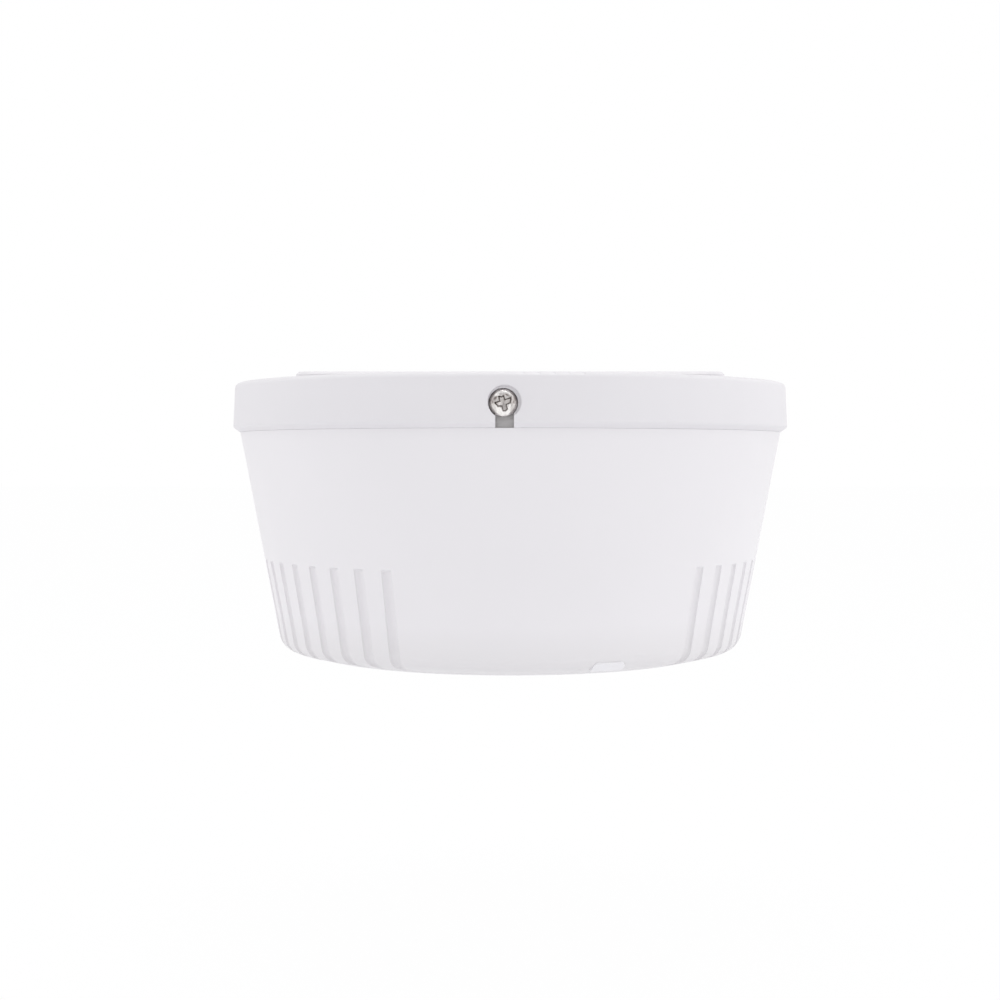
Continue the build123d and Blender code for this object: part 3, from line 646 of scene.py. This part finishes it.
cup_mesh.set_sharp_from_angle(angle=math.radians(50))
cup_shell.data.materials.clear()
cup_shell.data.materials.append(abs_cup)
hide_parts("cover")
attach(cup_shell, "head")
print("window middle at", [round(v, 2) for v in window_middle])

# %% [markdown]
# ## The locking screw
#
# An M3 pan-head screw with a cross recess, which has been driven many times. A driver that
# slips rolls the recess's edges over and leaves burrs, and those torn edges give an old
# screw its broken highlights. The head is a height field on a polar grid: a dome, less the
# cross, plus a ridge of burrs. All of it is a formula, so it comes out the same each time.
# Its place and diameter are read from the frame, so it can't drift off its CAD node.

# %% Screw sizes
screw_low, screw_high = (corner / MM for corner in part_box("locking_screw"))
screw_x = (screw_low.x + screw_high.x) / 2
screw_z = (screw_low.z + screw_high.z) / 2
head_r = (screw_high.x - screw_low.x) / 2
head_front = screw_low.y
screw_back = screw_high.y
head_height = 1.9
shank_r = 1.5
recess_turn = math.radians(17)
arm_reach, arm_half, arm_depth = 1.36, 0.52, 1.4
edge_round = 1.0           # dome's roundness at the head's rim
burr_height = 0.12
gouges = [                 # place, length, width and depth of each mark left by a slipping driver
    (-1.35, 0.95, 0.34, 0.22, 0.16), (-0.45, 1.62, 0.30, 0.17, 0.12), (0.68, 1.50, 0.42, 0.24, 0.18),
    (1.40, 1.22, 0.26, 0.15, 0.10), (1.95, 0.10, 0.25, 0.14, 0.08), (-1.95, 0.05, 0.30, 0.12, 0.06),
    (1.50, -0.45, 0.22, 0.12, 0.07),
]
print("screw head", round(2 * head_r, 2), "mm across,", len(gouges), "gouges")

# %% [markdown]
# Two questions come up at every place on the face: how far inside the cross it is, and how
# deep the gouges are there. The cross is two crossed arms that taper a little, with a slow
# wave on their outline for wear. A gouge is a soft oval dent.

# %% Recess and gouges
def softly(value, width):
    """Smooth step from 0 to 1 as the value goes from 0 to the width."""
    share = min(1, max(0, value / width))
    return share * share * (3 - 2 * share)


def recess_place(x, y):
    """How far inside the cross a place is, in millimetres, and its direction in the cross's frame."""
    u = x * math.cos(recess_turn) + y * math.sin(recess_turn)
    v = y * math.cos(recess_turn) - x * math.sin(recess_turn)
    along, aside = max(abs(u), abs(v)), min(abs(u), abs(v))
    swing = math.atan2(v, u)
    wear = 1 + 0.10 * math.sin(3 * swing + 0.7) + 0.06 * math.sin(7 * swing)
    to_side = arm_half * wear * (1 - 0.12 * along) - aside
    to_end = arm_reach * wear - along
    return min(to_side, to_end), along, swing


def torn_share(x, y):
    """Depth of the gouges at a place, in millimetres."""
    torn = 0.0
    for gouge_x, gouge_y, length, width, deep in gouges:
        turn = math.atan2(gouge_y, gouge_x)
        out = (x - gouge_x) * math.cos(turn) + (y - gouge_y) * math.sin(turn)
        aside = (y - gouge_y) * math.cos(turn) - (x - gouge_x) * math.sin(turn)
        torn += deep * math.exp(-(aside / length) ** 2 - (out / width) ** 2)
    return torn


print("middle of the cross is", round(recess_place(0, 0)[0], 2), "mm inside its edge")

# %% [markdown]
# The face's depth adds up the dome, the recess, the burrs along its edge, a light scuff
# and the gouges. The gouges stop at the recess, where there is no metal to tear.

# %% Depth of the face
def head_dip(x, y):
    """How far the screw's face lies below its highest plane."""
    r = math.hypot(x, y)
    into_edge = max(0, r - (head_r - edge_round)) / edge_round
    flank = max(0, r / head_r - 0.36) / 0.64
    dome = 0.34 * flank ** 1.6 + 0.9 * (1 - math.sqrt(max(0, 1 - into_edge ** 2)))
    depth_in, along, swing = recess_place(x, y)
    inside = softly(depth_in + 0.10, 0.24)
    recess = inside * arm_depth * (1 - 0.42 * along / arm_reach)
    rough = 0.5 + 0.5 * math.sin(11 * swing + 4 * r) * math.sin(5 * swing - 1.3)
    burr = burr_height * rough * math.exp(-((depth_in + 0.16) / 0.11) ** 2)
    scuff = 0.012 * math.sin(9 * x + 2 * y) * math.sin(7 * y - 3 * x)
    return dome + recess - burr + (scuff + torn_share(x, y)) * (1 - inside)


print("depth in the middle", round(head_dip(0, 0), 2), "mm, at the rim", round(head_dip(head_r, 0), 2), "mm")

# %% [markdown]
# A second formula says how dark each place is. Most of it is painted shade: in the recess,
# along its outline, on the left and right sides, over the upper side and round the rim. The
# gouges are torn plating, darkened further as painted shade in their dents, and faint smears
# are dirt. A crescent at the top is a painted highlight. It is kept on the mesh as an
# attribute, because the places come from the same formulas as the shape.

# %% Painted shade, highlight and dirt
def head_shade_and_dirt(x, y):
    """How dark a place is painted: 0 for bright metal, 1 where painted shade, dirt and bare steel add up."""
    r = math.hypot(x, y)
    depth_in = recess_place(x, y)[0]
    # painted shade along the recess's outline, where its steep walls fall dark
    outline = 0.80 * math.exp(-((depth_in - 0.02) / 0.13) ** 2)
    # painted shade on the recess's floor
    recess_floor_shade = 0.5 * softly(depth_in, 0.2)
    # painted shade towards the rim
    rim = 0.14 * softly(r - (head_r - 0.62), 0.4)
    # painted shade on the left and right sides of the head
    flank_shade = 0.38 * softly(abs(x) - 1.0, 0.7)
    # painted shade: the upper side of the head is darker
    upper = 0.34 * softly(y + 0.5, 1.0) * (1 - softly(depth_in + 0.1, 0.2))
    smears = 0.10 * math.sin(4.1 * x + 1.7 * y + 0.5) * math.sin(3.3 * y - 2.2 * x)
    # painted highlight: a lighter crescent near the top of the dome, where it faces the lamp above
    painted_highlight = 0.5 * math.exp(-((r - 1.95) / 0.22) ** 2) * softly(y - 0.7, 0.6)
    # the gouges are torn plating, and their darkness is also painted shade in the dents
    return min(1, max(0, max(outline, recess_floor_shade) + rim + flank_shade + upper + smears - painted_highlight
                      + 4.5 * torn_share(x, y)))


print("grime in the middle", round(head_shade_and_dirt(0, 0), 2), "and on the open face", round(head_shade_and_dirt(0, -2), 2))

# %% [markdown]
# The screw is one closed mesh: rings of the face, then the rim, the seat under the head and
# the plain shank to its chamfered tip.

# %% The screw's mesh
face_rings, screw_turns = 44, 120
rim_edge, tip_chamfer = 0.08, 0.4
thinnest = 0.3             # metal left under the deepest place of the face
# how dark the rim's side, the seat and the shank are
shank_darkness = 0.3


def screw_mesh(name):
    """Closed mesh of the screw: its face as a height field, then the rim, the seat and the shank."""
    mesh = bpy.data.meshes.new(name)
    build = bmesh.new()
    circle = [(math.cos(math.tau * k / screw_turns), math.sin(math.tau * k / screw_turns))
              for k in range(screw_turns)]
    back_of_head = head_front + head_height
    outline = [(head_r, back_of_head - rim_edge), (head_r - rim_edge, back_of_head),
               (shank_r, back_of_head), (shank_r, screw_back - tip_chamfer),
               (shank_r - tip_chamfer, screw_back)]
    rings = []
    for number in range(1, face_rings + 1):
        r = head_r * number / face_rings
        ring = []
        for cosine, sine in circle:
            x, y = r * cosine, r * sine
            dip = min(max(head_dip(x, y), 0.0), head_height - thinnest)
            ring.append(build.verts.new(Vector((screw_x + x, head_front + dip, screw_z + y)) * MM))
        rings.append(ring)
    for r, place in outline:
        rings.append([build.verts.new(Vector((screw_x + r * cosine, place, screw_z + r * sine)) * MM)
                      for cosine, sine in circle])
    middle = build.verts.new(Vector((screw_x, head_front + head_dip(0, 0), screw_z)) * MM)
    end = build.verts.new(Vector((screw_x, screw_back, screw_z)) * MM)
    for k in range(screw_turns):
        j = (k + 1) % screw_turns
        build.faces.new((middle, rings[0][k], rings[0][j]))
        for ring, after in zip(rings, rings[1:]):
            build.faces.new((ring[k], after[k], after[j], ring[j]))
        build.faces.new((end, rings[-1][j], rings[-1][k]))
    bmesh.ops.recalc_face_normals(build, faces=build.faces)
    build.to_mesh(mesh)
    build.free()
    # each point keeps how dark it is painted: painted shade, a painted highlight and dirt
    grime = mesh.attributes.new("grime", "FLOAT", "POINT")
    for vertex, value in zip(mesh.vertices, grime.data):
        x, y = vertex.co.x / MM - screw_x, vertex.co.z / MM - screw_z
        on_face = vertex.co.y < (back_of_head - 0.1) * MM
        value.value = head_shade_and_dirt(x, y) if on_face else shank_darkness
    mesh.shade_smooth()
    mesh.set_sharp_from_angle(angle=math.radians(60))
    made = bpy.data.objects.new(name, mesh)
    bpy.context.scene.collection.objects.link(made)
    return made


lock_screw_face = screw_mesh("worn_locking_screw")
print("screw:", len(lock_screw_face.data.vertices), "points")

# %% [markdown]
# The plating is the same bright zinc as on the other screws, worn by the driver. The
# attribute steers it: where it is low the metal is nearly mirror-bright, and where it holds
# dirt and painted shade the metal is darker and blurs what it reflects. A little noise keeps
# the border between them uneven.

# %% Worn plating
spot_mm = 0.3


def driven_zinc(name, hex_bright, hex_shade_and_dirt):
    """Zinc plating whose tone follows the attribute: bright where it is low, dark where it holds dirt and
    painted shade.
    """
    material, tree = blank_material(name)
    place = add(tree, "ShaderNodeTexCoord").outputs["Object"]
    spots = add(tree, "ShaderNodeTexNoise", {"Scale": 1 / (spot_mm * MM), "Detail": 4.0}, {"Vector": place})
    grime = add(tree, "ShaderNodeAttribute", {"attribute_name": "grime"}).outputs["Fac"]
    uneven = add(tree, "ShaderNodeMath", {"operation": "MULTIPLY_ADD", 1: 0.35, 2: -0.17},
                 {0: spots.outputs["Fac"]})
    dark = add(tree, "ShaderNodeMath", {"operation": "ADD", "use_clamp": True},
               {0: grime, 1: uneven.outputs["Value"]})
    tone = add(tree, "ShaderNodeMix", {"data_type": "RGBA", 6: linear(hex_bright), 7: linear(hex_shade_and_dirt)},
               {0: dark.outputs["Value"]})
    blur = add(tree, "ShaderNodeMapRange", {"To Min": 0.14, "To Max": 0.45}, {"Value": dark.outputs["Value"]})
    surface = add(tree, "ShaderNodeBsdfPrincipled", {"Metallic": 1.0},
                  {"Base Color": tone.outputs[2], "Roughness": blur.outputs["Result"]})
    add(tree, "ShaderNodeOutputMaterial", {}, {"Surface": surface.outputs["BSDF"]})
    return material


# the second colour is the dark end, for dirt and painted shade
lock_screw_face.data.materials.append(driven_zinc("driven_zinc_on_steel", "#F8F5F3", "#857C79"))
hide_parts("locking_screw")
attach(lock_screw_face, "lock_screw")
print("screw finished with", lock_screw_face.data.materials[0].name)

# %% [markdown]
# ## Studio
#
# The device hangs in a white room. Nearly all its light is the room's own, so the world is a
# bright dome whose walls differ a little: each wall's share falls off as a cosine, the way a
# large matt wall lights a small object. The camera, and anything seen through clear plastic,
# sees the backdrop as plain white. Metal mirrors the walls as they are, so the screw shows
# the dim front of the room, the bright table under it and the lamp above.

# %% World
even_light = 0.636
wall_light = {          # direction of the wall, and how much it adds straight on
    "below": ((0, 0, -1), 0.186),
    "right": ((1, 0, 0), 0.746),
    "left": ((-1, 0, 0), 0.602),
}
world = bpy.data.worlds.new("white_room")
bpy.context.scene.world = world
world.use_nodes = True
tree = world.node_tree
tree.nodes.clear()
direction = add(tree, "ShaderNodeTexCoord").outputs["Generated"]
total = add(tree, "ShaderNodeValue", {}).outputs[0]
total.default_value = even_light
for side, (facing, strength) in wall_light.items():
    towards = add(tree, "ShaderNodeVectorMath", {"operation": "DOT_PRODUCT", 1: facing}, {0: direction})
    seen = add(tree, "ShaderNodeMath", {"operation": "MAXIMUM", 1: 0.0}, {0: towards.outputs["Value"]})
    total = add(tree, "ShaderNodeMath", {"operation": "MULTIPLY_ADD", "label": side, 1: strength},
                {0: seen.outputs["Value"], 2: total}).outputs["Value"]
sky = add(tree, "ShaderNodeBackground", {"Color": linear("#FEFEFF")}, {"Strength": total})
paper = add(tree, "ShaderNodeBackground", {"Color": (1.0, 1.0, 1.0, 1.0), "Strength": 1.0})
ray = add(tree, "ShaderNodeLightPath")
shows = add(tree, "ShaderNodeMath", {"operation": "MAXIMUM"},
            {0: ray.outputs["Is Camera Ray"], 1: ray.outputs["Is Transmission Ray"]})
blend = add(tree, "ShaderNodeMixShader", {}, {0: shows.outputs["Value"], 1: sky.outputs["Background"],
                                              2: paper.outputs["Background"]})
add(tree, "ShaderNodeOutputWorld", {}, {"Surface": blend.outputs["Shader"]})
print("walls that add light:", list(wall_light))

# %% [markdown]
# A white table stands 6 cm under the nose, well clear of the head when it is unplugged. It
# darkens the cup's lower edge a little, as a table does. From below it is clear, so
# the nose can be looked at.

# %% Floor
floor_drop = 60.0          # millimetres under the nose
floor_size = 12.0          # metres
paper_share = 0.96         # the rest shows the table's own shade, and with it the shadow
floor_material, tree = blank_material("white_paper_floor")
ray = add(tree, "ShaderNodeLightPath")
shows = add(tree, "ShaderNodeMath", {"operation": "MAXIMUM"},
            {0: ray.outputs["Is Camera Ray"], 1: ray.outputs["Is Glossy Ray"]})
share = add(tree, "ShaderNodeMath", {"operation": "MULTIPLY", 1: paper_share}, {0: shows.outputs["Value"]})
matt = add(tree, "ShaderNodeBsdfDiffuse", {"Color": linear("#F7F7F9")})
glow = add(tree, "ShaderNodeEmission", {"Color": (1.0, 1.0, 1.0, 1.0), "Strength": 1.0})
blend = add(tree, "ShaderNodeMixShader", {}, {0: share.outputs["Value"], 1: matt.outputs["BSDF"],
                                              2: glow.outputs["Emission"]})
underside = add(tree, "ShaderNodeNewGeometry").outputs["Backfacing"]
clear = add(tree, "ShaderNodeBsdfTransparent")
blend = add(tree, "ShaderNodeMixShader", {}, {0: underside, 1: blend.outputs["Shader"],
                                              2: clear.outputs["BSDF"]})
add(tree, "ShaderNodeOutputMaterial", {}, {"Surface": blend.outputs["Shader"]})

bpy.ops.mesh.primitive_grid_add(x_subdivisions=4, y_subdivisions=4, size=floor_size,
                                location=(0, 0, (nose_z - floor_drop) * MM))
floor = bpy.context.object
floor.name = "paper_floor"
floor.data.materials.append(floor_material)
print("table top at", round(nose_z - floor_drop, 2), "mm")

# %% [markdown]
# Three soft boxes finish the studio. Two large ones at the sides put a faint light along the
# edges of the flutes, and one overhead lights the collar's rounded top. All are weak, because
# the room gives most of the light.

# %% Lamps
lamp_aim = Vector((0, 0, -30)) * MM


def soft_lamp(name, place_mm, size_mm, strength):
    """A square area lamp that points at the middle of the device."""
    lamp = bpy.data.lights.new(name, "AREA")
    lamp.size = size_mm * MM
    lamp.energy = strength
    made = bpy.data.objects.new(name, lamp)
    made.location = Vector(place_mm) * MM
    made.rotation_euler = (lamp_aim - made.location).to_track_quat("-Z", "Y").to_euler()
    bpy.context.scene.collection.objects.link(made)


soft_lamp("right_softbox", (900, -500, 250), 600, 0.409)
soft_lamp("left_softbox", (-900, -500, 250), 600, 0.213)
soft_lamp("overhead_softbox", (0, 0, 800), 400, 1.5)
print("lamps:", [lamp.name for lamp in bpy.data.lights])
